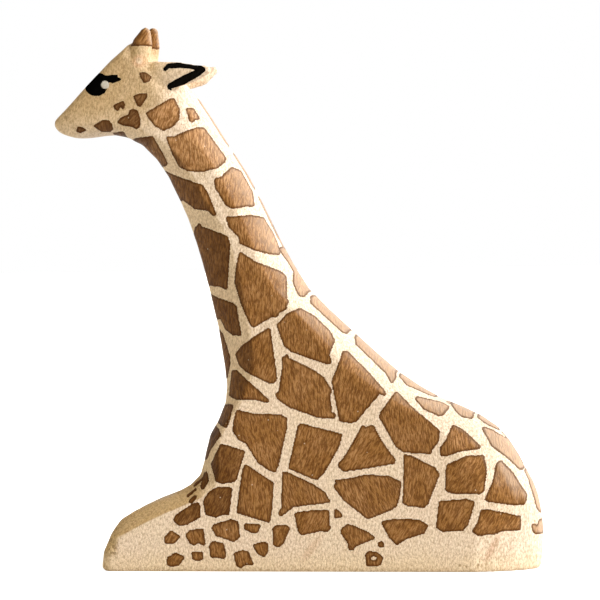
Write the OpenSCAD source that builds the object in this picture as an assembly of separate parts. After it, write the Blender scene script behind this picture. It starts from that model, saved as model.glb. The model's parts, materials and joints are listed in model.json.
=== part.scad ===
// Resting giraffe, sawn and carved from one plank of pale wood, with painted markings.
// Head toward -X, the painted near side toward -Y, +Z up, base on Z = 0. Millimetres.

/* [Wood] */
// Thickness of the plank at the body
plank_thickness = 24; // [18:0.5:30]
// Width of the head between its cheeks
head_width = 17; // [14:0.5:20]
// Width of the head at the nose, as a share of its width at the horns
nose_share = 0.5; // [0.4:0.05:1]
// Roundness of the carved front and back edges, as a share of the drawn one
edge_roundness = 1; // [0.6:0.05:1.2]

/* [Horns and ears] */
// Distance of each horn from the middle plane
horn_offset = 5.8; // [4.5:0.1:7]
// Radius of a horn at its foot
horn_radius = 2.8; // [2:0.1:3.5]
// Distance of each ear tip from the middle plane
ear_tip_offset = 8.6; // [6:0.1:10.5]

/* [Paint] */
// Thickness drawn for the paint layers
paint_thickness = 0.15; // [0.1:0.05:0.4]
// Rounding of the patch corners left by the brush
brush_radius = 0.5; // [0.2:0.1:1]
// How far the markings of the right side wander from a mirror of the left side
mirror_wander = 1.2; // [0:0.1:2]

/* [Hidden] */
arc_steps = 5;          // points along each rounded edge of a section
fine_brush = 0.3;       // corner rounding of the small spots on the face
pen_radius = 0.2;       // corner rounding of the eyes and of the thin strokes
$fn = 16;

// ---------------------------------------------------------------- the carving
// Each station is one slice from the front edge of the figure to its back edge:
// [front x, front z, back x, back z, thickness share, front rounding length, front flat share,
//  back rounding length, back flat share]. They run from the base up the neck to the nose.
stations = [
    [-53.6,   0.0,  66.4,   0.0, 0.98,  2.0, 0.75, 17.0, 0.15],
    [-54.1,   0.6,  66.9,   0.6, 1.00,  2.0, 0.75, 18.0, 0.15],
    [-53.8,   5.0,  67.4,   5.0, 1.00,  2.3, 0.72, 18.0, 0.15],
    [-51.7,  10.0,  67.6,  10.0, 1.00,  3.4, 0.68, 17.5, 0.15],
    [-50.5,  12.0,  67.4,  12.2, 1.00,  6.0, 0.62, 17.2, 0.16],
    [-49.0,  13.9,  67.2,  14.5, 1.00,  8.2, 0.58, 17.0, 0.18],
    [-45.0,  16.3,  66.7,  17.0, 1.00,  9.3, 0.58, 16.0, 0.20],
    [-39.9,  18.6,  66.1,  20.0, 1.00, 10.0, 0.58, 15.0, 0.22],
    [-34.2,  20.8,  65.0,  23.2, 1.00,  9.5, 0.55, 14.5, 0.22],
    [-29.6,  23.4,  63.3,  26.5, 1.00,  8.0, 0.50, 14.0, 0.22],
    [-26.9,  26.2,  61.2,  30.6, 1.00,  6.5, 0.40, 14.0, 0.22],
    [-26.0,  29.6,  58.4,  35.0, 1.00,  5.0, 0.30, 14.0, 0.22],
    [-25.3,  32.8,  55.3,  38.6, 1.00,  4.5, 0.25, 14.0, 0.22],
    [-24.1,  37.2,  51.0,  41.6, 1.00,  4.0, 0.22, 14.0, 0.22],
    [-21.7,  41.4,  45.8,  44.1, 1.00,  4.0, 0.22, 13.5, 0.22],
    [-19.9,  46.0,  40.1,  46.5, 1.00,  5.0, 0.22, 13.0, 0.22],
    [-19.4,  50.8,  34.0,  49.9, 1.00,  7.0, 0.22, 12.5, 0.22],
    [-19.8,  55.8,  28.2,  53.9, 1.00,  9.0, 0.22, 12.0, 0.22],
    [-20.6,  61.2,  22.4,  58.9, 1.00, 10.0, 0.22, 11.0, 0.22],
    [-21.5,  67.0,  15.9,  65.0, 0.99, 10.0, 0.22, 10.0, 0.22],
    [-22.7,  72.6,   9.2,  71.2, 0.97, 10.0, 0.22,  9.0, 0.22],
    [-24.0,  78.2,   3.5,  77.1, 0.94, 10.5, 0.22,  8.5, 0.22],
    [-25.5,  84.2,  -0.4,  83.4, 0.91, 10.5, 0.22,  8.0, 0.22],
    [-27.3,  90.6,  -4.0,  89.9, 0.88, 10.5, 0.22,  7.0, 0.22],
    [-29.6,  97.2,  -7.1,  96.6, 0.85,  9.5, 0.22,  7.0, 0.22],
    [-32.1, 103.2, -10.2, 103.3, 0.83,  8.0, 0.22,  7.0, 0.22],
    [-34.9, 109.0, -13.4, 109.4, 0.80,  7.5, 0.22,  7.0, 0.22],
    [-38.1, 113.9, -16.5, 114.4, 0.78,  7.5, 0.22,  7.0, 0.22],
    [-42.2, 118.0, -19.6, 119.2, 0.76,  7.5, 0.22,  7.5, 0.22],
    [-46.8, 120.3, -23.0, 124.8, 0.74,  6.5, 0.25,  8.5, 0.22],
    [-50.4, 121.0, -26.6, 130.4, 0.73,  5.5, 0.28,  8.0, 0.22],
    [-53.2, 120.9, -30.8, 135.4, 0.72,  5.0, 0.30,  7.0, 0.22],
    [-55.5, 120.6, -36.0, 139.4, 0.71,  4.5, 0.30,  5.0, 0.40],
    [-57.4, 120.4, -41.0, 143.2, 0.71,  4.5, 0.30,  4.0, 0.45],
    [-59.1, 120.3, -44.6, 146.4, 0.70,  4.5, 0.30,  4.0, 0.42],
    [-60.5, 120.3, -50.4, 141.8, 0.69,  4.0, 0.32,  5.0, 0.35],
    [-61.9, 120.5, -54.6, 137.8, 0.67,  4.0, 0.32,  5.0, 0.32],
    [-63.3, 120.9, -58.9, 133.6, 0.64,  3.5, 0.34,  4.5, 0.32],
    [-64.7, 121.4, -62.1, 130.3, 0.59,  3.0, 0.36,  3.8, 0.34],
    [-66.0, 122.1, -64.8, 127.7, 0.50,  2.3, 0.36,  2.6, 0.36],
    [-67.0, 123.1, -66.6, 126.0, 0.36,  1.3, 0.40,  1.5, 0.40],
    [-67.5, 124.0, -67.4, 125.2, 0.16,  0.5, 0.45,  0.6, 0.45],
];

// The plank is thinned toward the head, so a thickness share under 1 follows the head width.
function half_thickness(share) =
    share >= 0.7
        ? lookup(share, [[0.7, head_width / 2], [1, plank_thickness / 2]])
        : share / 0.7 * head_width / 2;

// The head narrows evenly from the horns to the nose.
function narrowing(x, z) = z < 60 ? 1 : lookup(x, [[-67.5, nose_share], [-42, 1]]);

// One point of a section: along the slice from the front edge, and off the middle plane.
function section_point(slice, along, off) =
    let (front = [slice[0], slice[1]], back = [slice[2], slice[3]],
         dir = (back - front) / norm(back - front),
         x = front[0] + dir[0] * along, z = front[1] + dir[1] * along)
    [x, off * narrowing(x, z), z];

// How far the rounded edges are flattened toward a plain chamfer, at a height on the front or back edge.
function front_chamfer(z) = lookup(z, [[10, 0.3], [14, 0.7], [24, 0.7], [30, 0.5], [108, 0.5], [120, 0.2]]);
function back_chamfer(z) = lookup(z, [[24, 0.3], [40, 0.45], [115, 0.5], [130, 0.2]]);

// Share of the thickness reached at angle a around a rounded edge: an ellipse eased toward a chamfer.
function edge_share(flat, a, chamfer) =
    flat + (1 - flat) * ((1 - chamfer) * sin(a) + chamfer * (1 - cos(a)));

function half_section(slice, side) =
    let (b = half_thickness(slice[4]),
         length = norm([slice[2] - slice[0], slice[3] - slice[1]]),
         front = min(slice[5] * edge_roundness, 0.48 * length),
         back = min(slice[7] * edge_roundness, 0.48 * length),
         front_flat = front_chamfer(slice[1]),
         back_flat = back_chamfer(slice[3]))
    concat(
        [for (k = [0 : arc_steps]) let (a = 90 * k / arc_steps)
            section_point(slice, front * (1 - cos(a)), side * b * edge_share(slice[6], a, front_flat))],
        [for (k = [arc_steps : -1 : 0]) let (a = 90 * k / arc_steps)
            section_point(slice, length - back * (1 - cos(a)),
                          side * b * edge_share(slice[8], a, back_flat))]);

function reversed(list) = [for (i = [len(list) - 1 : -1 : 0]) list[i]];

rings = [for (s = stations) concat(half_section(s, -1), reversed(half_section(s, 1)))];
ring_size = len(rings[0]);

// Outward direction of the surface at a point of a ring.
function outward(i, j) =
    let (up = rings[min(i + 1, len(rings) - 1)][j] - rings[max(i - 1, 0)][j],
         around = rings[i][(j + 1) % ring_size] - rings[i][(j + ring_size - 1) % ring_size],
         n = cross(around, up))
    n / norm(n);

module loft(grow = 0) {
    points = [for (i = [0 : len(rings) - 1], j = [0 : ring_size - 1])
        rings[i][j] + (grow == 0 ? [0, 0, 0] : grow * outward(i, j))];
    sides = [for (i = [0 : len(rings) - 2], j = [0 : ring_size - 1])
        let (a = i * ring_size + j, b = i * ring_size + (j + 1) % ring_size,
             c = b + ring_size, d = a + ring_size)
        each [[a, c, b], [a, d, c]]];
    bottom = [[for (j = [0 : ring_size - 1]) j]];
    top = [[for (j = [ring_size - 1 : -1 : 0]) (len(rings) - 1) * ring_size + j]];
    polyhedron(points, concat(sides, bottom, top), convexity = 10);
}

// A ball squashed to the given half sizes.
module bead(centre, half_sizes, grow = 0) {
    translate(centre) scale(half_sizes + [grow, grow, grow]) sphere(1);
}

// One blunt horn on the given side, rooted low on the head as a rounded post.
module horn(side, grow = 0) {
    y = side * horn_offset;
    r = horn_radius;
    // The left one is worn a little shorter.
    horn_end = [-40.2, y * 0.97, side < 0 ? 148.9 : 149.75];
    hull() {
        bead([-41.8, y, 141.6], [r, r, r + 0.4], grow);
        bead([-41.2, y, 145.4], [r, r - 0.3, r], grow);
    }
    hull() {
        bead([-41.2, y, 145.4], [r, r - 0.3, r], grow);
        bead(horn_end, [1.35, 1.35, 1.35], grow);
    }
}

// One leaf-shaped ear, leaving the back of the head and flaring outward.
module ear(side, grow = 0) {
    root = side * (head_width / 2 - 2.4);
    tip = side * ear_tip_offset;
    ear_end = side < 0 ? [-22.5, tip, 138.0] : [-23.4, tip, 139.0];
    hull() {
        bead([-37.5, root, 137.0], [3.0, 2.0, 3.9], grow);
        bead([-31.5, (root * 2 + tip) / 3, 137.0], [3.0, 1.8, 3.6], grow);
    }
    hull() {
        bead([-31.5, (root * 2 + tip) / 3, 137.0], [3.0, 1.8, 3.6], grow);
        bead([-27.0, (root + tip * 2) / 3, 137.2], [2.4, 1.5, 2.5], grow);
    }
    hull() {
        bead([-27.0, (root + tip * 2) / 3, 137.2], [2.4, 1.5, 2.5], grow);
        bead(ear_end, [1.1, 1.0, 1.1], grow);
    }
}

module wood(grow = 0) {
    loft(grow);
    for (side = [-1, 1]) {
        horn(side, grow);
        ear(side, grow);
    }
}

module carved_body() {
    wood();
}

// ---------------------------------------------------------------- the markings
// Every outline is a list of [x, z] points on the side of the figure, with soft corners from the brush.
module soft(points, radius = brush_radius) {
    offset(r = radius, $fn = 8) offset(delta = -radius) polygon(points);
}

// The same outline for the right side: the painter repeats the left side, but freely.
function wandered(points) = [for (p = points)
    [p[0] + mirror_wander * sin(5.3 * p[1] + 40), p[1] + mirror_wander * sin(4.7 * p[0] + 160)]];

module soft_all(outlines, side) {
    for (points = outlines) soft(side > 0 ? wandered(points) : points);
}

// Paint on the wood inside the 2D outline: side -1 is the left, 1 the right, 0 wraps around both.
module paint(side, inner = 0) {
    depth = 20;
    intersection() {
        difference() {
            wood(paint_thickness);
            wood();
        }
        rotate([90, 0, 0])
            translate([0, 0, side < 0 ? inner : -depth])
            linear_extrude(side == 0 ? 2 * depth : depth - inner)
            children();
    }
}

face_outlines = [
    [[-41.6, 137.8], [-39.8, 137.8], [-38.2, 136.5], [-38.8, 135.3], [-40.3, 134.8], [-41.2, 136.2]],
    [[-43.5, 131.3], [-41.5, 132.0], [-39.6, 132.0], [-39.5, 131.0], [-41.5, 128.3], [-42.4, 128.7]],
    [[-49.3, 128.9], [-46.4, 130.1], [-45.9, 129.0], [-46.4, 127.6], [-47.2, 128.5],
     [-48.0, 127.3], [-48.9, 127.9]],
    [[-48.3, 124.2], [-47.2, 125.4], [-44.9, 126.3], [-44.6, 127.4], [-43.5, 127.8], [-42.3, 127.3],
     [-41.5, 125.0], [-41.7, 122.7], [-42.8, 122.1], [-44.0, 122.9], [-46.5, 123.2]],
    [[-55.3, 123.4], [-52.3, 125.0], [-50.7, 124.8], [-49.8, 123.8], [-49.6, 122.3],
     [-50.6, 121.6], [-53.2, 121.7]],
    [[-60.6, 122.0], [-59.9, 123.3], [-58.6, 123.1], [-57.3, 122.3], [-59.4, 121.5]],
];
neck_outlines = [
    [[-40, 126.5], [-36.5, 128.5], [-33, 130.5], [-32, 130.5], [-30.5, 127.5], [-30.5, 124.5],
     [-32.5, 122.5],
     [-35, 121.5], [-37.5, 123], [-39.5, 125.5]],
    [[-29, 128], [-26.8, 127.7], [-25, 124.6], [-26.2, 124.5], [-27, 123.6], [-28, 124.3]],
    [[-34.5, 120], [-32, 120], [-26, 122.4], [-24, 122.4], [-18, 114], [-18.2, 112.7], [-20, 111],
     [-24, 110],
     [-28, 110.2], [-31, 111.5], [-32.7, 115.3]],
    [[-21, 107.5], [-20.5, 108.4], [-19.2, 108.4], [-16.5, 111.5], [-14.2, 110.3], [-11, 104.5],
     [-10.2, 100.2],
     [-12, 100.4], [-15.8, 99.7], [-17.6, 100.5], [-20.6, 105.3]],
    [[-17.9, 97.5], [-11, 98], [-8, 97.4], [-5.5, 93], [-4, 89.5], [-3.2, 86.8], [-5.5, 87], [-10, 88.3],
     [-14.1, 90.2], [-14.2, 91.8], [-17, 94.7]],
];
shoulder_outlines = [
    [[-14, 88.2], [-10, 85.4], [-3, 82.5], [-1.5, 81], [-1, 75], [-0.4, 74], [-1, 73], [-1, 72], [-3, 71],
     [-4, 69.6], [-5, 70], [-10.2, 67.1], [-11.2, 67.7], [-14, 74], [-15.7, 79.5], [-15.2, 83]],
    [[-4, 67.7], [-1, 70.9], [2.6, 72.3], [6.5, 69.9], [10.5, 66], [12, 63.3], [10.6, 59.5], [11.3, 57],
     [9.5, 57], [5, 58.5], [0, 60.3], [-2, 62]],
    [[-5.7, 67.3], [-4.6, 59], [-3.9, 53], [-5, 51.6], [-6.3, 51.8], [-13, 55], [-15, 56.7], [-16, 59.8],
     [-14, 62], [-9, 65.3]],
    [[-17.3, 55.3], [-15.7, 55.3], [-11, 51.7], [-6.8, 47.8], [-5.8, 46.3], [-7.5, 46.5], [-10.5, 47.4],
     [-16, 47.4], [-18.5, 48.2], [-18.2, 50.5]],
    [[-1, 60.3], [-1.7, 59.2], [-2.6, 59], [-2.6, 55.5], [-3.6, 49.6], [-4.6, 48.8], [-4.1, 47.4],
     [-0.5, 45],
     [7, 42.3], [11.7, 41.9], [12.3, 43.2], [11, 43.9], [10.7, 48], [11, 50], [9, 53.3],
     [6.5, 55.2], [-0.5, 58.7]],
    [[-15.3, 44.7], [-11, 43.6], [-3, 43.2], [-1.3, 42.3], [-1.4, 39.5], [-4, 29], [-4.8, 27.2],
     [-6.5, 27.8],
     [-9.7, 30], [-13, 35.4], [-14.8, 36.1], [-16.5, 38.5], [-16.3, 41.5]],
    [[-20, 35.2], [-18, 34.9], [-13.1, 33.2], [-15.6, 25.3], [-16.4, 24.7], [-19.5, 24.2], [-21.5, 24.8],
     [-23.2, 29.5], [-21.5, 32.5]],
];
flank_outlines = [
    [[14.2, 60.6], [15.5, 60.3], [20.5, 55.2], [25, 50.2], [26.1, 48.5], [25.3, 48.1],
     [24.2, 48.7], [20.3, 44.2],
     [17.6, 41], [16, 40.7], [13, 41.3], [11, 52.2], [13, 57]],
    [[19.4, 40.4], [20.3, 39.7], [22.3, 40.4], [24.5, 36], [28.3, 30.7], [28, 29.6], [22, 28.6],
     [13.7, 27.4],
     [12.2, 29.3], [14.5, 32]],
    [[28.5, 49.5], [24.1, 43.4], [23.9, 42.3], [28.3, 34.2], [30.5, 32.7], [38, 32.2],
     [38.3, 33.4], [40.1, 35.6],
     [40.4, 38.8], [33, 45]],
    [[-3, 27.5], [-1.3, 27.4], [6, 23.9], [9, 21.8], [9.8, 20], [10.7, 19.5], [9.8, 19],
     [0, 17.8], [-2.3, 16],
     [-3.5, 15.1], [-4.4, 16], [-3.3, 17.7]],
    [[-13.2, 29.8], [-5.3, 24.5], [-5.9, 17], [-6.6, 13.4], [-15.8, 16.2], [-15, 22], [-13.9, 28.5]],
    [[1.5, 40.2], [2.6, 40.8], [13.8, 37.8], [13, 34.5], [8.6, 27], [6.8, 25.3], [5.3, 25.5],
     [-1.3, 28.4], [1, 38]],
    [[11, 25.2], [15.5, 25.7], [20, 26.7], [26.5, 26.3], [29.8, 24.7], [29.3, 21], [28.5, 18], [27, 17],
     [20.4, 14.4], [14, 19.5], [10.9, 23.6], [11.9, 24.3]],
];
rump_outlines = [
    [[43.8, 40.2], [42, 36], [40.3, 33.8], [40.4, 31.7], [42, 31.6], [46, 32.9], [52, 33.6], [46.5, 38.9]],
    [[51, 39.8], [54.5, 38.3], [59.2, 35], [61, 31.5], [63.2, 27.4], [61.7, 27.3], [58.5, 30.6],
     [54.3, 33.9]],
    [[56.7, 30.4], [55.5, 29.5], [54.5, 24.5], [52.2, 19.6], [53.2, 19.1], [61, 17.8], [63.2, 18],
     [63.8, 20.5],
     [60, 26.7]],
    [[42, 29.3], [47.5, 31.7], [52.2, 31.8], [53, 27.5], [52.3, 22], [51.2, 21.3], [44, 21.3],
     [41.6, 22.2]],
    [[39.9, 19.4], [47.5, 20], [49.8, 19.3], [47.8, 13], [46.3, 11.2], [40.3, 11.1], [39, 12.3]],
    [[51.2, 16.9], [53, 17.2], [62, 14.9], [62, 11], [57, 11], [55, 10.3], [50.5, 9.9],
     [48.6, 11.1], [50.3, 13.5]],
    [[30.4, 32.2], [32.5, 31.9], [39, 28.6], [40.3, 26.7], [37, 18.7], [36.1, 17.6], [31.5, 17.9],
     [30, 18.8],
     [30.4, 27]],
    [[23.8, 13.9], [28, 14.6], [34.5, 14.4], [37, 12.9], [35.9, 10.6], [31, 9.1], [28.2, 7.3], [26.3, 9.2]],
    [[33, 47.5], [34.5, 47.7], [40.8, 45.9], [43, 44.7], [41, 42.5], [40, 42.5], [36, 44.3]],
];
leg_outlines = [
    [[11.3, 17.4], [12.4, 17.1], [14, 15.1], [11.1, 14.7]],
    [[14.8, 13.2], [13.2, 12.1], [12.8, 10.8], [14.9, 7.7], [15, 6], [16.3, 5.9], [17, 7], [22.7, 9.3],
     [20.6, 10.9], [16.5, 12.8]],
    [[22.9, 7.9], [24.5, 8.7], [25, 6.8], [23.4, 6.7]],
    [[0.2, 15.9], [1, 16.4], [5, 17], [10, 17.1], [9.8, 13], [10.5, 12.2], [9.3, 11], [7.5, 11.2],
     [1.9, 10],
     [1.1, 11.3]],
    [[-6, 12], [-4.8, 12.9], [-1.9, 13], [-1, 12], [-3, 7.6], [-4.3, 6.7], [-5.7, 7.2], [-5.7, 10]],
    [[-25.1, 19.4], [-24.5, 15.7], [-21.5, 14.9], [-19.3, 15.8], [-17.9, 15.4], [-16.8, 23.2], [-21, 23.5],
     [-23.6, 22]],
    [[-33.6, 14.2], [-32.9, 15.6], [-28.2, 18.7], [-26.4, 19.3], [-25.8, 18], [-25.9, 15], [-29.5, 13],
     [-31.8, 12.5]],
    [[-25.5, 27], [-24.4, 27.3], [-23.6, 24.8], [-25.5, 22.2], [-26.2, 23.3]],
    [[-29.7, 19.1], [-28.4, 20.5], [-26.9, 21.4], [-26.9, 20.3], [-28.2, 18.9]],
    [[-36, 7.6], [-36.1, 9.5], [-34, 11.5], [-31.2, 9.6], [-33.5, 7.7]],
    [[-30.2, 10], [-29, 11.5], [-25, 12], [-24.5, 7], [-26.8, 7.8], [-27.8, 7.1], [-29, 7.9]],
    [[-22.8, 12], [-22.4, 13], [-17.5, 14.5], [-15.3, 14], [-14.9, 9.5], [-16.6, 8.2], [-21.7, 9.9]],
    [[-13.7, 13.4], [-8.9, 13.1], [-10, 10.7], [-11.5, 10.6], [-13.7, 11.7]],
    [[-35.5, 1.9], [-35.3, 4], [-33, 5.3], [-30.1, 4.1], [-32.2, 1.6], [-34.5, 1.4]],
    [[-28.6, 5.6], [-25.3, 5.5], [-25.2, 3.6], [-26.5, 2.9], [-28.2, 3.3]],
    [[-23.6, 7.3], [-22.4, 8.6], [-19.5, 7.8], [-18.8, 5.3], [-19.2, 3.6], [-23.3, 4]],
    [[-16.6, 3.5], [-16.7, 5.3], [-14.3, 6], [-12.6, 5.6], [-11, 1.6], [-13.2, 2], [-14.9, 0.9],
     [-16, 1.6]],
    [[-11.5, 7.5], [-8.3, 8.4], [-7, 7.8], [-7.1, 5.5], [-8.3, 3.9], [-10.4, 5.1]],
];
throat_outlines = [
    [[-50.2, 121.3], [-46.7, 121.6], [-46, 118.5], [-50, 119]],
    [[-46.5, 118.8], [-43.5, 119.6], [-38, 120.1], [-36, 116.3], [-34.2, 112.3], [-36, 111.7], [-41, 111],
     [-46, 116.5]],
    [[-36.5, 110.9], [-33, 109.4], [-26, 107], [-24, 106.4], [-22.5, 104], [-20.2, 98], [-21.3, 97.7],
     [-23, 99.3], [-27, 99.8], [-30.5, 102.3], [-35, 102], [-39, 110]],
];
chest_outlines = [
    [[-27.4, 94.7], [-26.6, 95.2], [-26, 96.3], [-25, 95], [-22, 94], [-17.2, 92.2], [-16.6, 90],
     [-17.9, 77.3],
     [-20, 78.2], [-23.8, 78.6], [-28, 79], [-31, 92], [-28.2, 92.6]],
    [[-23.5, 76.3], [-21, 75.2], [-16.3, 73.9], [-15.1, 73], [-14.6, 69], [-13.8, 64.7], [-17, 65],
     [-19, 66.5], [-20.6, 69.3], [-25, 69], [-27, 77]],
    [[-21, 66.3], [-19.8, 65], [-17.7, 59], [-17.8, 57], [-18.8, 53], [-22, 52], [-24, 66.5]],
    [[-20.8, 45.3], [-18.5, 45.9], [-16.4, 45.9], [-17.5, 41], [-18.2, 39.5], [-20.4, 40.3], [-24, 41.5],
     [-23, 45.5]],
    [[-22.5, 40], [-20.8, 39.1], [-19.5, 37.7], [-22, 35], [-23.6, 33], [-24.8, 30.4], [-28, 31],
     [-25, 41]],
];
// Two thin strokes in the notch where the chest meets the folded front leg.
notch_strokes = [
    [[-30.2, 20.5], [-29.9, 21.2], [-28.4, 22.2], [-27.6, 23], [-27.2, 22.6], [-28.2, 21.5], [-29.3, 20.6]],
    [[-28.5, 23.2], [-28.2, 23.9], [-26.9, 24.9], [-25.7, 25.9], [-25.4, 25.2], [-26.7, 24.2],
     [-27.7, 23.2]],
];
back_outlines = [
    [[-4.1, 88.8], [-2.6, 86.4], [-1.4, 84.8], [0, 82.3], [0.1, 79.3], [1, 77], [2, 75.4],
     [3.4, 75.2], [4, 76.4],
     [8, 79], [3, 86], [0, 91]],
    [[4.6, 75.3], [5, 73.4], [9, 69.6], [13.5, 65.5], [14.9, 64.8], [15.3, 65.6], [18, 68], [9, 78]],
    [[16.6, 64.6], [17.2, 62.2], [20.5, 58.9], [25.3, 54.2], [27.2, 51.1], [28.3, 52.5],
     [27.8, 56], [20, 67]],
    [[28.9, 53.1], [31, 50.7], [35.5, 48.6], [38.8, 47.2], [41, 49], [31, 57], [28.6, 56]],
    [[40.2, 46.8], [43, 45.3], [44.4, 43.6], [46, 42.1], [49.2, 41.3], [49.3, 42.5], [52, 45], [42, 50]],
    [[49.9, 42], [52, 40.3], [56, 38], [58.6, 35.8], [62, 37], [53, 45]],
    [[62.7, 27.2], [64, 24.4], [65.4, 19.8], [66.2, 16.6], [66.9, 15.3], [70, 15], [70, 23], [66, 29]],
];
// Patches along the crest of the neck, as [y, z] points seen from behind it.
crest_outlines = [
    [[-1.3, 130.4], [-1.3, 118.2], [0.2, 117.1], [2.6, 118], [3.2, 122], [2.6, 127], [1.6, 130.2],
     [0, 130.9]],
    [[-1.3, 114.8], [-1.3, 106], [0, 105], [2.2, 105.6], [3.2, 109], [2.8, 114], [0.6, 115.6]],
    [[-1.3, 102.6], [-1.3, 91.8], [0.2, 90.7], [2, 91.6], [2.8, 96], [2.2, 101.6], [0.4, 103.4]],
];
tail_outline = [[64.6, 13], [65, 10.8], [65.6, 9.6], [67.2, 9.5], [71, 9.5], [71, 14],
                [66.9, 13.6], [66.2, 12.1]];

eye_outline = [
    [-58.4, 134.8], [-56.8, 132.7], [-55.5, 131.9], [-53.5, 131.7], [-52.0, 132.4],
    [-51.2, 133.3], [-51.5, 134.8],
    [-50.4, 135.4], [-49.4, 135.1], [-46.6, 136.0], [-48.0, 136.7], [-47.9, 137.4],
    [-51.3, 137.1], [-52.5, 137.8],
    [-54.0, 138.2],
];
// The black line around the inside of the ear, as a path for a fine brush: [x, z, half width].
ear_line = [[-34.4, 138.6, 0.5], [-33.4, 139.5, 0.65], [-30.0, 139.7, 0.85], [-27.2, 139.4, 0.85],
            [-25.0, 138.8, 0.95], [-23.6, 138.1, 0.7], [-25.2, 137.2, 1.0], [-27.8, 136.0, 1.15],
            [-30.6, 134.6, 1.2], [-33.1, 133.7, 0.85]];

module eye_light_shape() {
    translate([-51.6, 134.7]) scale([1.15, 1.1]) circle(1);
}

module left_horn_tip() horn_tip(-1);
module right_horn_tip() horn_tip(1);
module horn_tip(side) {
    intersection() {
        difference() {
            horn(side, paint_thickness);
            wood();
        }
        translate([-60, -20, 145.8]) rotate([0, 2, 0]) cube([40, 40, 10]);
    }
}

module left_ear_line() ear_line_on(-1);
module right_ear_line() ear_line_on(1);
// The line is only on the half of the ear that faces outward.
module ear_line_on(side) {
    intersection() {
        paint(side, 5) ear_line_shape();
        translate([-37.5, side * 6.4, 130]) rotate([0, 0, side * 10])
            translate([-5, side < 0 ? -20 : 0, 0]) cube([30, 20, 20]);
    }
}
module ear_line_shape() {
    for (i = [0 : len(ear_line) - 2]) hull() {
        ear_line_dab(i);
        ear_line_dab(i + 1);
    }
}
module ear_line_dab(i) {
    translate([ear_line[i][0], ear_line[i][1]]) circle(ear_line[i][2], $fn = 8);
}

// The eyes stop short of each other on the bridge of the nose.
module left_eye() paint(-1, 1.6) eye_shape();
module right_eye() paint(1, 1.6) eye_shape();
module eye_shape() {
    difference() {
        soft(eye_outline, pen_radius);
        offset(delta = 0.02) eye_light_shape();
    }
}

module left_eye_light() paint(-1) eye_light_shape();
module right_eye_light() paint(1) eye_light_shape();

module left_face_spots() paint(-1) face_shapes();
module right_face_spots() paint(1) face_shapes();
module face_shapes() {
    for (points = face_outlines) soft(points, fine_brush);
}

module throat_patches() paint(0) soft_all(throat_outlines, 0);
module left_neck_patches() paint(-1) soft_all(neck_outlines, -1);
module right_neck_patches() paint(1) soft_all(neck_outlines, 1);
module chest_patches() paint(0) {
    soft_all(chest_outlines, 0);
    for (points = notch_strokes) soft(points, pen_radius);
}
module left_shoulder_patches() paint(-1) soft_all(shoulder_outlines, -1);
module right_shoulder_patches() paint(1) soft_all(shoulder_outlines, 1);
module left_flank_patches() paint(-1) soft_all(flank_outlines, -1);
module right_flank_patches() paint(1) soft_all(flank_outlines, 1);
module left_rump_patches() paint(-1) soft_all(rump_outlines, -1);
module right_rump_patches() paint(1) soft_all(rump_outlines, 1);
module back_patches() {
    paint(0) soft_all(back_outlines, 0);
    intersection() {
        difference() {
            wood(paint_thickness);
            wood();
        }
        translate([-27, 0, 0]) rotate([90, 0, 90]) linear_extrude(40) soft_all(crest_outlines, 0);
    }
}
module tail_patch() paint(0) soft(tail_outline);

// The small marks by the folded legs, with one that the painter left open in the middle.
module left_leg_spots() paint(-1) leg_shapes(-1);
module right_leg_spots() paint(1) leg_shapes(1);
module leg_shapes(side) {
    soft_all(leg_outlines, side);
    difference() {
        soft_all([[[19.6, 5], [20.5, 5.7], [22.8, 5.6], [24.5, 4], [23.9, 2.1], [22.7, 1.5],
                   [19.8, 1.6]]], side);
        translate([21.9, 3.8]) scale([0.8, 0.5]) circle(1);
    }
}

// ---------------------------------------------------------------- assembly
carved_body();
left_horn_tip();
right_horn_tip();
left_ear_line();
right_ear_line();
left_eye();
right_eye();
left_eye_light();
right_eye_light();
left_face_spots();
right_face_spots();
throat_patches();
left_neck_patches();
right_neck_patches();
chest_patches();
left_shoulder_patches();
right_shoulder_patches();
left_flank_patches();
right_flank_patches();
left_rump_patches();
right_rump_patches();
left_leg_spots();
right_leg_spots();
back_patches();
tail_patch();
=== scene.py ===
"""A lying giraffe, carved from one plank of pale wood and painted by hand, on a pale studio floor.

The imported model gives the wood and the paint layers. The wood is remeshed finely and smoothed, and
each paint layer is cut out of that fine surface along the rim of its own solid, with a brushed edge.
Lengths in the mesh work and the materials are millimetres; Blender's objects are in metres.
"""
import json
import math

import bpy
import numpy as np
from mathutils import Matrix, Vector, noise
from mathutils.bvhtree import BVHTree
from mathutils.kdtree import KDTree


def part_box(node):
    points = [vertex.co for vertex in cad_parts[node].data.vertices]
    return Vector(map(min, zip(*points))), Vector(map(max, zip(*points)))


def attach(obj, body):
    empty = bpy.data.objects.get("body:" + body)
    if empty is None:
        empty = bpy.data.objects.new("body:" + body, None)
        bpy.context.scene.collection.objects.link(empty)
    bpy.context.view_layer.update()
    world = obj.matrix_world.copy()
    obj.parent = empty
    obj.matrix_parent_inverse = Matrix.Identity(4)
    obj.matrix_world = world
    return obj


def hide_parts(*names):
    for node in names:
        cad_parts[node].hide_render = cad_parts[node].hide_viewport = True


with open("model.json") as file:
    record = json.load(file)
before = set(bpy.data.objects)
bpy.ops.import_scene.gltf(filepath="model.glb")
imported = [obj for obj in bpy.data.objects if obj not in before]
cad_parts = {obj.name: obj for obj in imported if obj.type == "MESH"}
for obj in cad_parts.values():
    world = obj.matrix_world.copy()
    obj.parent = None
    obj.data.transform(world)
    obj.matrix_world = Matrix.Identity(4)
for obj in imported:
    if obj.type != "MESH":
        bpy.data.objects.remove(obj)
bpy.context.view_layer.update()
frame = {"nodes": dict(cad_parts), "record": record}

MM = 0.001                  # metres in a millimetre

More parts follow.
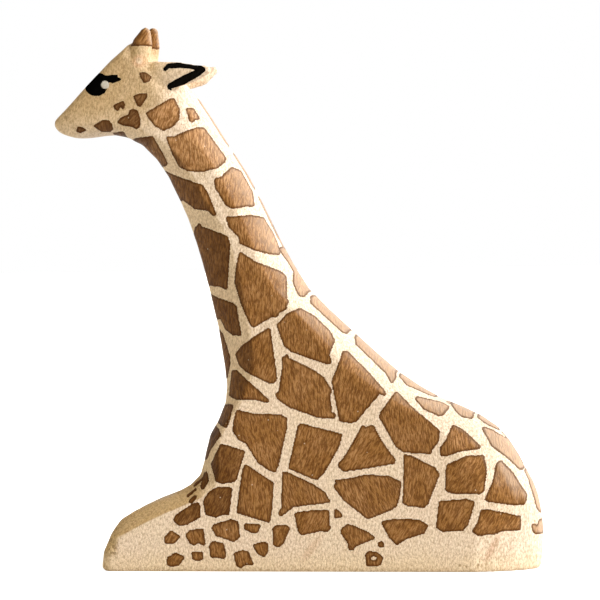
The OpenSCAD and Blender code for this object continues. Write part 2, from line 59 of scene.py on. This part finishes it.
VOXEL = 0.55                # grid of the remeshed wood
FLAT = 0.975                # a CAD face is sawn flat if its normal points sideways or down by this much
SMOOTHING = (0.5, -0.53)    # a smoothing step inwards, and the step back out that follows it
SMOOTHING_ROUNDS = 26
BODY_ROUNDS = 60            # further rounds below the head, where the rounded edges are wide

RIM_STEP = 0.08             # spacing of the points that stand for a paint layer's rim
RIM_REACH = 1.2             # how far from a paint layer its distance is worked out
SEARCH_REACH = 3            # how far from a point of the wood the nearest paint layer is looked for
CUT_REACH = 0.9             # how far round a paint layer the wood's mesh is taken to cut it from
SPLIT_REACH = 0.8           # how far from the rim that mesh is made finer
SHEET_HEIGHT = 0.05         # a vertex of a paint layer this high above the wood is on its outer sheet
ON_SHEET = 0.12             # sideways distance to the outer sheet that still counts as under it
PAINT_HEIGHT = 0.06         # how far the painted surface stands above the wood
PAINT_ROOT = 0.03           # how far a paint layer reaches into the wood
THIN_EDGE = 0.35            # share of the paint's height that is left at its rim
EDGE_WIDTH = 0.35           # how far from the rim the paint has its full height

body_low, body_high = (np.array(corner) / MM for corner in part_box("carved_body"))


# ------------------------------------------------------------------------------ mesh tools
def arrays(mesh):
    """Vertices in millimetres and triangles of a mesh, with doubled vertices joined."""
    mesh.calc_loop_triangles()
    points = np.empty(3 * len(mesh.vertices), np.float32)
    mesh.vertices.foreach_get("co", points)
    triangles = np.empty(3 * len(mesh.loop_triangles), np.int32)
    mesh.loop_triangles.foreach_get("vertices", triangles)
    points, where = np.unique(np.round(points.reshape(-1, 3) / MM, 4), axis=0, return_inverse=True)
    triangles = where.ravel()[triangles].reshape(-1, 3)
    a, b, c = triangles.T
    return points, triangles[(a != b) & (b != c) & (c != a)]


def points_and_quads(mesh):
    """Vertices in millimetres and faces of a mesh whose faces all have four corners."""
    points = np.empty(3 * len(mesh.vertices))
    mesh.vertices.foreach_get("co", points)
    return points.reshape(-1, 3) / MM, np.array([face.vertices for face in mesh.polygons])


def new_object(name, points, faces):
    """A mesh object in the scene from points in millimetres."""
    mesh = bpy.data.meshes.new(name)
    mesh.from_pydata((np.asarray(points) * MM).tolist(), [], faces)
    mesh.update()
    thing = bpy.data.objects.new(name, mesh)
    bpy.context.scene.collection.objects.link(thing)
    return thing


def triangle_edges(triangles, size):
    """The unique edges of a triangle mesh of the given number of vertices.

    With them come their numbers at the three sides of each triangle, and how often each is used.
    """
    a, b = triangles, np.roll(triangles, -1, 1)
    keys = np.minimum(a, b).astype(np.int64) * size + np.maximum(a, b)
    unique, number, uses = np.unique(keys, return_inverse=True, return_counts=True)
    return np.stack([unique // size, unique % size], 1), number.reshape(-1, 3), uses


def split_edges(fields, triangles, place):
    """Splits edges of a triangle mesh and the triangles on them.

    fields holds one row for each vertex, which new vertices interpolate. place takes the rows at the
    two ends of every edge and gives the share of the way where the edge is split, or nan where it isn't.
    """
    edges, number, _ = triangle_edges(triangles, len(fields))
    starts, ends = fields[edges[:, 0]], fields[edges[:, 1]]
    share = place(starts, ends)
    cut = np.isfinite(share)
    middle = np.full(len(edges), -1)
    middle[cut] = len(fields) + np.arange(cut.sum())
    share = share[cut][:, None]
    added = (1 - share) * starts[cut] + share * ends[cut]
    middles = middle[number]
    cuts = (middles >= 0).sum(1)
    pieces = [triangles[cuts == 0]]
    for turn in range(3):
        corners, mids = np.roll(triangles, -turn, 1), np.roll(middles, -turn, 1)
        one = (cuts == 1) & (mids[:, 0] >= 0)
        (a, b, c), m = corners[one].T, mids[one, 0]
        pieces += [np.stack([a, m, c], 1), np.stack([m, b, c], 1)]
        two = (cuts == 2) & (mids[:, 1] < 0)
        (a, b, c), (m, _, n) = corners[two].T, mids[two].T
        pieces += [np.stack([a, m, n], 1), np.stack([m, b, c], 1), np.stack([m, c, n], 1)]
    (a, b, c), (m, n, o) = triangles[cuts == 3].T, middles[cuts == 3].T
    pieces += [np.stack(corners, 1) for corners in ((a, m, o), (m, b, n), (o, n, c), (m, n, o))]
    return np.concatenate([fields, added]), np.concatenate(pieces)


def used_only(fields, triangles):
    """The same mesh without the vertices that no triangle uses."""
    used, where = np.unique(triangles, return_inverse=True)
    return fields[used], where.reshape(-1, 3)


def smoothstep(low, high, value):
    """A smooth rise from 0 where the value is low to 1 where it is high."""
    t = np.clip((value - low) / (high - low), 0, 1)
    return t * t * (3 - 2 * t)


def ripple(points, size, seed):
    """Smooth noise from about -1 to 1 at each point, with bumps of the given size in millimetres."""
    shift = Vector((seed * 17.3, seed * 5.9, seed * 11.1))
    return np.array([noise.noise(Vector(p) / size + shift) for p in points])


def store(mesh, name, values):
    """Keeps a number or a vector for each vertex of a mesh, for its material to read."""
    kind, key = ("FLOAT", "value") if values.ndim == 1 else ("FLOAT_VECTOR", "vector")
    mesh.attributes.new(name, kind, "POINT").data.foreach_set(key, values.astype(np.float32).ravel())


# ------------------------------------------------------------------------------ the carved wood
def smoothed(points, edges, weight, rounds):
    """Evens out facets and steps without shrinking the shape, by smoothing in and back out."""
    a, b = edges.T
    count = len(points)
    neighbours = np.bincount(edges.ravel(), minlength=count)[:, None]
    for factor in SMOOTHING * rounds:
        around = [np.bincount(a, points[b, axis], count) + np.bincount(b, points[a, axis], count)
                  for axis in range(3)]
        points = points + factor * weight[:, None] * (np.stack(around, 1) / neighbours - points)
    return points


def remeshed(points, triangles):
    """The same shape in evenly sized quads, with the mesh's edges."""
    source = new_object("source", points, triangles.tolist())
    remesh = source.modifiers.new("fine", "REMESH")
    remesh.mode = "VOXEL"
    remesh.voxel_size = VOXEL * MM
    mesh = bpy.data.meshes.new_from_object(source.evaluated_get(bpy.context.evaluated_depsgraph_get()))
    bpy.data.objects.remove(source)
    points, quads = points_and_quads(mesh)
    edges = np.empty(2 * len(mesh.edges), np.int32)
    mesh.edges.foreach_get("vertices", edges)
    bpy.data.meshes.remove(mesh)
    return points, quads, edges.reshape(-1, 2)


def fine_wood():
    """The carving as a fine mesh, with smoothed facets and the slight waves of hand carving.

    The base and the sides of the folded front legs stay flat up to their sawn edges.
    """
    points, quads, edges = remeshed(wood_points, wood_triangles)
    normals = np.array([cad_wood.find_nearest(p)[1] for p in points])
    x, z = points[:, 0], points[:, 2]
    sawn = (np.abs(normals[:, 1]) > FLAT) | (normals[:, 2] < -FLAT)
    base = z < 0.5
    front_legs = (x < -24) & (z < 24)
    weight = np.where(sawn & (base | front_legs), 0.0, 1.0)
    points = smoothed(points, edges, weight, SMOOTHING_ROUNDS)
    below_head = smoothstep(128, 120, points[:, 2])
    points = smoothed(points, edges, weight * below_head, BODY_ROUNDS)
    points = smoothed(points, edges, np.ones(len(points)), 2)
    above_base = smoothstep(0.5, 3, points[:, 2])
    waves = 0.09 * ripple(points, 11, 1) + 0.03 * ripple(points, 4, 2)
    waves = np.where(sawn, 0.4, 1.0) * above_base * waves
    points = np.clip(points + waves[:, None] * normals, body_low, body_high)
    return new_object("carved_wood", points, quads.tolist())


wood_points, wood_triangles = arrays(frame["nodes"]["carved_body"].data)
cad_wood = BVHTree.FromPolygons(wood_points.tolist(), wood_triangles.tolist())
wood = fine_wood()
wood.data.polygons.foreach_set("use_smooth", np.ones(len(wood.data.polygons), bool))
fine_points, fine_quads = points_and_quads(wood.data)
fine_triangles = fine_quads[:, [0, 1, 2, 0, 2, 3]].reshape(-1, 3)
fine_normals = np.array([vertex.normal for vertex in wood.data.vertices])


# ------------------------------------------------------------------------------ the paint
PLACE, NORMAL, RIM, PATCH = slice(0, 3), slice(3, 6), 6, 7      # the fields of a paint vertex


def spaced(start, end):
    """Points along the line from start towards end."""
    length = max(np.linalg.norm(end - start), RIM_STEP)
    return [start + (end - start) * t for t in np.arange(0, 1, RIM_STEP / length)]


class Layer:
    """One CAD paint layer: how far a point on the wood is from its rim, and which patch is nearest."""

    def __init__(self, name):
        points, triangles = arrays(frame["nodes"][name].data)
        height = np.array([cad_wood.find_nearest(p)[3] for p in points])
        outer = height > SHEET_HEIGHT
        self.sheet = triangles[outer[triangles].all(1)]
        self.points = points
        self.low, self.high = points.min(0) - RIM_REACH, points.max(0) + RIM_REACH
        self.tree = BVHTree.FromPolygons(points.tolist(), self.sheet.tolist())
        edges, _, uses = triangle_edges(self.sheet, len(points))
        rim = [place for a, b in edges[uses == 1] for place in spaced(points[a], points[b])]
        self.rim = KDTree(len(rim))
        for number, place in enumerate(rim):
            self.rim.insert(place, number)
        self.rim.balance()
        self.patch = self.patches()

    def patches(self):
        """The number of the separate patch that each triangle of the outer sheet is part of."""
        label = np.arange(len(self.points))
        while True:
            lowest = label[self.sheet].min(1)
            before = label.copy()
            for corner in self.sheet.T:
                np.minimum.at(label, corner, lowest)
            if (label == before).all():
                return label[self.sheet[:, 0]]

    def distance(self, point, normal):
        """Distance along the wood from the rim, below zero under the paint, and the patch."""
        near, _, face, _ = self.tree.find_nearest(point, SEARCH_REACH)
        if near is None:
            return RIM_REACH, -1
        normal = Vector(normal)
        point = Vector(point)
        across = near - point
        across -= normal * across.dot(normal)
        if across.length > ON_SHEET:
            return min(across.length, RIM_REACH), self.patch[face]
        across = self.rim.find(point)[0] - point
        across -= normal * across.dot(normal)
        return -across.length, self.patch[face]

    def measure(self, fields, numbers):
        """Fills in the distance and the patch of the numbered vertices."""
        for i in numbers:
            fields[i, RIM], fields[i, PATCH] = self.distance(fields[i, PLACE], fields[i, NORMAL])


def halves_by_rim(starts, ends):
    """The middles of the edges that lie near the rim."""
    near = (np.abs(starts[:, RIM]) < SPLIT_REACH) & (np.abs(ends[:, RIM]) < SPLIT_REACH)
    return np.where(near, 0.5, np.nan)


def rim_crossings(starts, ends):
    """Where the rim crosses the edges that it crosses."""
    a, b = starts[:, RIM], ends[:, RIM]
    with np.errstate(divide="ignore", invalid="ignore"):
        return np.where((a < 0) != (b < 0), a / (a - b), np.nan)


def paint_piece(name, splits, wobble):
    """Cuts a paint layer out of the fine wood and gives it a body.

    The mesh near the rim is split the given number of times. The rim wanders by about the wobble.
    """
    layer = Layer(name)
    fields = np.zeros((len(fine_points), 8))
    fields[:, PLACE], fields[:, NORMAL], fields[:, RIM] = fine_points, fine_normals, RIM_REACH
    layer.measure(fields, np.flatnonzero(((fine_points > layer.low) & (fine_points < layer.high)).all(1)))
    near = fields[:, RIM] < CUT_REACH
    fields, triangles = used_only(fields, fine_triangles[near[fine_triangles].any(1)])
    for _ in range(splits):
        measured = len(fields)
        fields, triangles = split_edges(fields, triangles, halves_by_rim)
        layer.measure(fields, range(measured, len(fields)))
    wander = wobble * (0.6 * ripple(fields[:, PLACE], 1.1, 3) + 0.4 * ripple(fields[:, PLACE], 0.45, 4))
    fields[:, RIM] += np.where(np.abs(fields[:, RIM]) < RIM_REACH, wander, 0)
    fields, triangles = split_edges(fields, triangles, rim_crossings)
    painted = fields[triangles, RIM].mean(1) < 0
    fields, triangles = used_only(fields, triangles[painted])
    return closed_piece(name + "_paint", fields, triangles)


def closed_piece(name, fields, triangles):
    """Paint as a thin closed body: its face stands above the wood and its back lies just inside it."""
    size = len(fields)
    depth = np.maximum(-fields[:, RIM], 0)
    height = PAINT_HEIGHT * (THIN_EDGE + (1 - THIN_EDGE) * smoothstep(0, EDGE_WIDTH, depth))
    face = fields[:, PLACE] + fields[:, NORMAL] * height[:, None]
    back = fields[:, PLACE] - fields[:, NORMAL] * PAINT_ROOT
    edges, number, uses = triangle_edges(triangles, size)
    on_rim = uses[number] == 1
    a, b = triangles[on_rim], np.roll(triangles, -1, 1)[on_rim]
    walls = np.stack([b, a, a + size, b + size], 1)
    faces = triangles.tolist() + (triangles[:, ::-1] + size).tolist() + walls.tolist()
    piece = new_object(name, np.concatenate([face, back]), faces)
    mesh = piece.data
    mesh.polygons.foreach_set("use_smooth", np.arange(len(mesh.polygons)) < 2 * len(triangles))
    rim = set(map(tuple, edges[uses == 1].tolist()))
    mesh.edges.foreach_set("use_edge_sharp", [tuple(sorted(e.vertices)) in rim for e in mesh.edges])
    store(mesh, "rim_distance", np.tile(depth, 2))
    store(mesh, "stroke", np.tile(strokes(fields), (2, 1)))
    return piece


def strokes(fields):
    """Coordinates across and along the brush strokes.

    They run upward, leaning towards the rump and towards the length of their patch.
    """
    result = np.zeros((len(fields), 3))
    for patch in np.unique(fields[:, PATCH]):
        mine = fields[:, PATCH] == patch
        flat = fields[mine][:, [0, 2]]
        centre = flat.mean(0)
        longest = np.linalg.eigh(np.cov((flat - centre).T) + 1e-3 * np.eye(2))[1][:, 1]
        lean = 0.3 + 0.5 * noise.noise(Vector((centre[0], 3.1, centre[1])) * 0.31)
        along = 0.45 * longest * np.sign(longest[1] or 1) + np.array([lean, 1.0])
        along /= np.linalg.norm(along)
        result[mine, 0] = flat @ [along[1], -along[0]]
        result[mine, 1] = flat @ along
        result[mine, 2] = patch * 3.7 + fields[mine, 1] * 0.3       # its own part of the noise
    return result


# ------------------------------------------------------------------------------ material tools
def put(tree, kind, inputs=None, **settings):
    """Adds a node. Its inputs are numbers, colours or other nodes' outputs, by socket name or number."""
    made = tree.nodes.new(kind)
    for key, value in settings.items():
        setattr(made, key, value)
    for key, value in (inputs or {}).items():
        if isinstance(value, bpy.types.NodeSocket):
            tree.links.new(value, made.inputs[key])
        else:
            made.inputs[key].default_value = value
    return made


def new_material(name, roughness):
    """A material, its node tree and its Principled shader."""
    material = bpy.data.materials.new(name)
    material.use_nodes = True
    shader = material.node_tree.nodes["Principled BSDF"]
    shader.inputs["Roughness"].default_value = roughness
    return material, material.node_tree, shader


def opaque(colour):
    """Red, green and blue with their alpha. A node's output stays as it is."""
    return colour if isinstance(colour, bpy.types.NodeSocket) else (*colour, 1)


def mixed(tree, share, a, b, kind="MIX"):
    """The first colour with the given share of the second one mixed in."""
    return put(tree, "ShaderNodeMix", {0: share, 6: opaque(a), 7: opaque(b)},
               data_type="RGBA", blend_type=kind).outputs[2]


def ranged(tree, value, low, high, to_low=0.0, to_high=1.0):
    """A value taken from one range to another, and held at its ends."""
    return put(tree, "ShaderNodeMapRange", {"Value": value, "From Min": low, "From Max": high,
                                            "To Min": to_low, "To Max": to_high}).outputs[0]


def faded(tree, value, start, end, most=1.0):
    """A smooth change from 0 where the value is at start to most where it is at end."""
    return put(tree, "ShaderNodeMapRange", {"Value": value, "From Min": start, "From Max": end,
                                            "To Max": most}, interpolation_type="SMOOTHSTEP").outputs[0]


def product(tree, first, *others):
    """The given numbers multiplied."""
    for other in others:
        first = put(tree, "ShaderNodeMath", {0: first, 1: other}, operation="MULTIPLY").outputs[0]
    return first


def band(tree, value, start, full, last, end, most=1.0):
    """Most where the value is between full and last, fading to 0 at start and at end."""
    return product(tree, faded(tree, value, start, full, most), faded(tree, value, end, last))


def grained(tree, vector, scale, detail, rough, distortion=0.0):
    """Noise whose size is given for each axis."""
    place = put(tree, "ShaderNodeMapping", {"Vector": vector, "Scale": scale}).outputs[0]
    return put(tree, "ShaderNodeTexNoise", {"Vector": place, "Scale": 1.0, "Detail": detail,
                                            "Roughness": rough, "Distortion": distortion}).outputs[0]


def axes(tree, vector):
    """The three numbers of a vector."""
    return put(tree, "ShaderNodeSeparateXYZ", {0: vector}).outputs


def surface(tree):
    """Where a point of the carving is, in millimetres, and the way that it faces."""
    here = put(tree, "ShaderNodeTexCoord").outputs
    place = put(tree, "ShaderNodeVectorMath", {0: here["Object"], "Scale": 1 / MM}, operation="SCALE")
    return place.outputs[0], here["Normal"]


def add_bump(tree, shader, height, depth):
    """Fine relief of the given depth in millimetres."""
    bump = put(tree, "ShaderNodeBump", {"Height": height, "Strength": 1.0, "Distance": depth * MM})
    tree.links.new(bump.outputs[0], shader.inputs["Normal"])


# ------------------------------------------------------------------------------ wood
GRAIN_LEAN = math.radians(-12)      # the grain runs upward and leans a little towards the rump
MARK_DEPTH = 1000                   # a mark goes right through the plank

# Knots, specks and darker streaks: x, z, half width, half height, tilt, strength and colour.
WOOD_MARKS = [
    (54.1, 6.4, 1.2, 5.5, 29, 0.6, (0.62, 0.38, 0.24)),
    (4.8, 6.4, 1.5, 6.0, 38, 0.5, (0.66, 0.44, 0.28)),
    (45.4, 1.9, 0.5, 0.5, 0, 0.7, (0.34, 0.22, 0.10)),
    (47.2, 1.5, 0.5, 0.4, 0, 0.6, (0.36, 0.24, 0.12)),
    (50.3, 2.0, 0.5, 0.6, 0, 0.7, (0.34, 0.22, 0.10)),
    (-41.6, 140.9, 2.4, 2.2, 0, 0.7, (0.78, 0.46, 0.27)),
    (-41.6, 141.0, 1.2, 1.1, 0, 0.9, (0.84, 0.66, 0.46)),
    (-63.4, 126.0, 0.8, 0.7, 0, 0.7, (0.40, 0.26, 0.12)),
]


def mark(tree, place, x, z, wide, high, tilt):
    """A soft spot, from 1 in its middle to 0 at its rim. Its tilt is in degrees towards the rump."""
    spot = put(tree, "ShaderNodeMapping", {"Vector": place, "Location": (x, 0, z),
                                           "Rotation": (0, math.radians(tilt), 0),
                                           "Scale": (wide, MARK_DEPTH, high)}, vector_type="TEXTURE")
    return put(tree, "ShaderNodeTexGradient", {0: spot.outputs[0]}, gradient_type="SPHERICAL").outputs[1]


def pale_wood():
    """Bare sanded wood with short fibres, golden where it is cut across the grain, with painted shade on
    surfaces that face left, on the up-facing ramp and on the top of the head.
    """
    material, tree, shader = new_material("pale_wood", 0.5)
    place, normal = surface(tree)
    x, y, z = axes(tree, place)
    towards_x, _, upward = axes(tree, normal)
    grain = put(tree, "ShaderNodeMapping", {"Vector": place, "Rotation": (0, GRAIN_LEAN, 0)}).outputs[0]
    blotch = ranged(tree, grained(tree, grain, (0.09, 0.09, 0.05), 3, 0.5), 0.35, 0.65)
    bands = ranged(tree, grained(tree, grain, (0.6, 0.25, 0.03), 3, 0.5), 0.3, 0.7, 0, 0.2)
    # end grain on the up-facing ramp, darker, with painted shade there as well
    end_grain_and_shade = product(tree, faded(tree, z, 29, 25), faded(tree, x, -24, -27),
                        faded(tree, upward, 0.15, 0.4, 0.95))
    off_middle = put(tree, "ShaderNodeMath", {0: y}, operation="ABSOLUTE").outputs[0]
    toe_corners = product(tree, band(tree, z, 3, 6, 12.5, 13.5), faded(tree, x, -48.5, -50.5),
                          faded(tree, off_middle, 6, 9.5))
    mottle = ranged(tree, grained(tree, grain, (1.1, 0.8, 0.9), 3, 0.6), 0.5, 0.56, 0, 0.85)
    # painted shade: the wood on the top of the head is darkened
    crown_shade = product(tree, faded(tree, z, 119, 130), faded(tree, x, -29, -40, 0.62))

    colour = mixed(tree, blotch, (0.81, 0.65, 0.50), (0.81, 0.66, 0.49))
    for share, tint in [
        (bands, (0.74, 0.53, 0.35)),
        (faded(tree, z, 8, 0, 0.4), (0.78, 0.59, 0.32)),
        (end_grain_and_shade, (0.45, 0.285, 0.12)),
        (product(tree, toe_corners, 0.6), (0.60, 0.40, 0.15)),
        (product(tree, toe_corners, mottle), (0.16, 0.08, 0.015)),
        # painted shade on surfaces that face left
        (faded(tree, towards_x, -0.05, -0.25, 0.35), (0.80, 0.58, 0.30)),
        (crown_shade, (0.49, 0.30, 0.09)),
    ]:
        colour = mixed(tree, share, colour, tint)
    for *spot, strength, tint in WOOD_MARKS:
        share = ranged(tree, mark(tree, place, *spot), 0, 0.6, 0, strength)
        colour = mixed(tree, share, colour, tint)

    fibre = ranged(tree, grained(tree, grain, (2.0, 2.0, 1.1), 3, 0.65), 0.36, 0.64)
    speck = ranged(tree, grained(tree, grain, (3.0, 3.0, 2.2), 2, 0.5), 0.57, 0.68, 0, 0.4)
    for share, tint in [
        (ranged(tree, fibre, 0, 0.55, 0.6, 0), (0.55, 0.46, 0.34)),
        (ranged(tree, fibre, 0.5, 1, 0, 0.7), (1.24, 1.30, 1.42)),
        (speck, (0.60, 0.45, 0.30)),
    ]:
        colour = mixed(tree, share, colour, tint, "MULTIPLY")
    tree.links.new(colour, shader.inputs["Base Color"])
    add_bump(tree, shader, fibre, 0.09)
    return material


# ------------------------------------------------------------------------------ paint
PAINTS = {
    "brown_paint": dict(dark=(0.076, 0.024, 0.002), middle=(0.235, 0.101, 0.024), light=(0.40, 0.20, 0.075),
                        rim_share=0.75, roughness=0.42, gloss=0.12, streaks=0.65, highlight_and_chips=0.5),
    "black_paint": dict(dark=(0.001, 0.001, 0.001), middle=(0.002, 0.002, 0.002), light=(0.006, 0.005, 0.004),
                        rim_share=0.3, roughness=0.9, gloss=0.0, streaks=0.3),
    "white_paint": dict(dark=(0.62, 0.58, 0.5), middle=(0.80, 0.79, 0.74), light=(0.88, 0.87, 0.83),
                        rim_share=0.4, roughness=0.5, gloss=0.3, streaks=0.1),
}


def painted_ridge_highlight(tree, place, normal, most):
    """The share of paler colour painted as a highlight on edges that face up and back, and on the rump."""
    x, _, z = axes(tree, place)
    facing = put(tree, "ShaderNodeVectorMath", {0: normal, 1: (0.7, 0, 0.7)}, operation="DOT_PRODUCT")
    facing = put(tree, "ShaderNodeMath", {0: facing.outputs["Value"], 1: faded(tree, x, 44, 56, 0.18)})
    return product(tree, faded(tree, facing.outputs[0], 0.5, 0.8, most), ranged(tree, z, 50, 100, 1, 0.7))


def brushed_paint(name, dark, middle, light, rim_share, roughness, gloss, streaks, highlight_and_chips=0.0):
    """Matte paint with fine strokes, a darker rim to each patch, and, given highlight_and_chips, chips of
    bare wood and a painted highlight on edges that face up and back.

    It is lighter up the neck, with painted shade on surfaces that face left, on the face and on the chest.
    """
    material, tree, shader = new_material(name, roughness)
    shader.inputs["Specular IOR Level"].default_value = gloss
    stroke = put(tree, "ShaderNodeAttribute", attribute_name="stroke").outputs["Vector"]
    rim = put(tree, "ShaderNodeAttribute", attribute_name="rim_distance").outputs["Fac"]
    place, normal = surface(tree)
    x, _, z = axes(tree, place)
    cloud = ranged(tree, grained(tree, stroke, (0.22, 0.16, 1.0), 2, 0.5), 0.4, 0.7, 0, 0.4)
    colour = middle
    for share, tint in [
        (cloud, light),
        (band(tree, z, 96, 128, 140, 146, 0.95), light),
        # painted shade on surfaces that face left, on the face and on the chest
        (faded(tree, axes(tree, normal)[0], -0.05, -0.3, 0.5), dark),
        (product(tree, band(tree, z, 116, 119, 142, 146), faded(tree, x, -37.5, -40, 0.65)), dark),
        (product(tree, band(tree, z, 10, 16, 38, 44), faded(tree, x, -11, -18, 0.55)), dark),
    ]:
        colour = mixed(tree, share, colour, tint)

    streak = ranged(tree, grained(tree, stroke, (2.3, 0.55, 1.0), 2, 0.65, 0.4), 0.38, 0.62)
    darker, lighter = (0.46, 0.38, 0.28), (1.70, 1.95, 2.50)
    colour = mixed(tree, ranged(tree, streak, 0, 0.5, streaks, 0), colour, darker, "MULTIPLY")
    colour = mixed(tree, ranged(tree, streak, 0.5, 1, 0, streaks), colour, lighter, "MULTIPLY")
    if highlight_and_chips:
        # painted highlight: a paler colour on edges that face up and back, where the light falls
        colour = mixed(tree, painted_ridge_highlight(tree, place, normal, highlight_and_chips), colour, (0.66, 0.50, 0.37))
        chips = put(tree, "ShaderNodeTexVoronoi", {"Vector": place, "Scale": 0.28}).outputs[0]
        colour = mixed(tree, ranged(tree, chips, 0.03, 0.06, 0.7, 0), colour, (0.80, 0.66, 0.48))
    colour = mixed(tree, faded(tree, rim, 0.8, 0.2, rim_share), colour, dark)
    tree.links.new(colour, shader.inputs["Base Color"])
    add_bump(tree, shader, streak, 0.12)
    return material


# ------------------------------------------------------------------------------ putting it together
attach(wood, "root")
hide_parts("carved_body")
wood.data.materials.append(pale_wood())

FINE_WORDS = ("eye", "ear_line", "face_spots")      # in the names of what is painted with a fine brush
FINE_BRUSH = dict(splits=2, wobble=0.06)
BROAD_BRUSH = dict(splits=1, wobble=0.2)

paints = {slot_name: brushed_paint(slot_name, **look) for slot_name, look in PAINTS.items()}
slots = {part["node"]: part["material_slot"] for part in frame["record"]["subparts"]}
for node_name, slot_name in slots.items():
    if slot_name in paints:
        brush = FINE_BRUSH if any(word in node_name for word in FINE_WORDS) else BROAD_BRUSH
        piece = paint_piece(node_name, **brush)
        piece.data.materials.append(paints[slot_name])
        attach(piece, "root")
        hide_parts(node_name)


# ------------------------------------------------------------------------------ studio
def backdrop_light():
    """A white room: bright behind and to the right of the figure, dim and warm in front and to the left."""
    world = bpy.data.worlds.new("studio")
    world.use_nodes = True
    tree = world.node_tree
    towards = put(tree, "ShaderNodeTexCoord").outputs["Generated"]
    bright = put(tree, "ShaderNodeVectorMath", {0: towards, 1: (0.75, 0.65, 0.1)}, operation="DOT_PRODUCT")
    bright = faded(tree, bright.outputs["Value"], -0.4, 0.9)
    colour = mixed(tree, bright, (0.10, 0.075, 0.045), (1.2, 1.19, 1.17))
    seen = put(tree, "ShaderNodeLightPath").outputs["Is Camera Ray"]
    colour = mixed(tree, seen, colour, (1, 1, 1))
    tree.links.new(colour, tree.nodes["Background"].inputs["Color"])
    bpy.context.scene.world = world


def lamp(name, towards, energy, angle, colour):
    """Broad light that comes from the given direction."""
    data = bpy.data.lights.new(name, "SUN")
    data.energy = energy
    data.angle = math.radians(angle)
    data.color = colour
    light = bpy.data.objects.new(name, data)
    bpy.context.scene.collection.objects.link(light)
    light.rotation_euler = Vector(towards).to_track_quat("Z", "Y").to_euler()


def floor():
    """A white floor that is a little brighter to the eye than in the light that it throws."""
    far = 6000
    corners = [(-far, -far, 0), (far, -far, 0), (far, far, 0), (-far, far, 0)]
    piece = new_object("floor", corners, [(0, 1, 2, 3)])
    material, tree, shader = new_material("floor", 0.9)
    shader.inputs["Base Color"].default_value = (0.62, 0.60, 0.57, 1)
    shader.inputs["Emission Color"].default_value = (1, 1, 1, 1)
    seen = put(tree, "ShaderNodeLightPath").outputs["Is Camera Ray"]
    tree.links.new(ranged(tree, seen, 0, 1, 0, 0.9), shader.inputs["Emission Strength"])
    piece.data.materials.append(material)


def camera():
    """Level with the neck, 7.5 degrees round towards the rump, and tipped by under a degree."""
    around = math.radians(7.5)
    distance, height = 0.700, 0.092
    aim = Vector((0.0011, 0, 0.0742))
    place = Vector((aim.x + distance * math.sin(around), -distance * math.cos(around), height))
    ahead = (aim - place).normalized()
    right = ahead.cross(Vector((0, 0, 1))).normalized()
    turn = Matrix.Rotation(math.radians(0.86), 3, ahead)
    right = turn @ right
    up = right.cross(ahead)
    data = bpy.data.cameras.new("camera")
    data.lens = 151.2
    data.sensor_width = 36
    data.clip_start = 0.01
    view = bpy.data.objects.new("camera", data)
    bpy.context.scene.collection.objects.link(view)
    view.matrix_world = Matrix.Translation(place) @ Matrix((right, up, -ahead)).transposed().to_4x4()
    bpy.context.scene.camera = view


backdrop_light()
lamp("window", (0.78, -0.40, 0.48), 3.6, 30, (1.0, 0.98, 0.94))       # high on the right, in front
lamp("rim", (0.80, 0.45, 0.40), 2.0, 40, (1.0, 0.99, 0.97))           # high on the right, behind
lamp("warm_wall", (-1.0, -0.25, 0.05), 1.4, 90, (1.0, 0.87, 0.56))    # level, from the left
floor()
camera()
bpy.context.scene.view_settings.view_transform = "Standard"
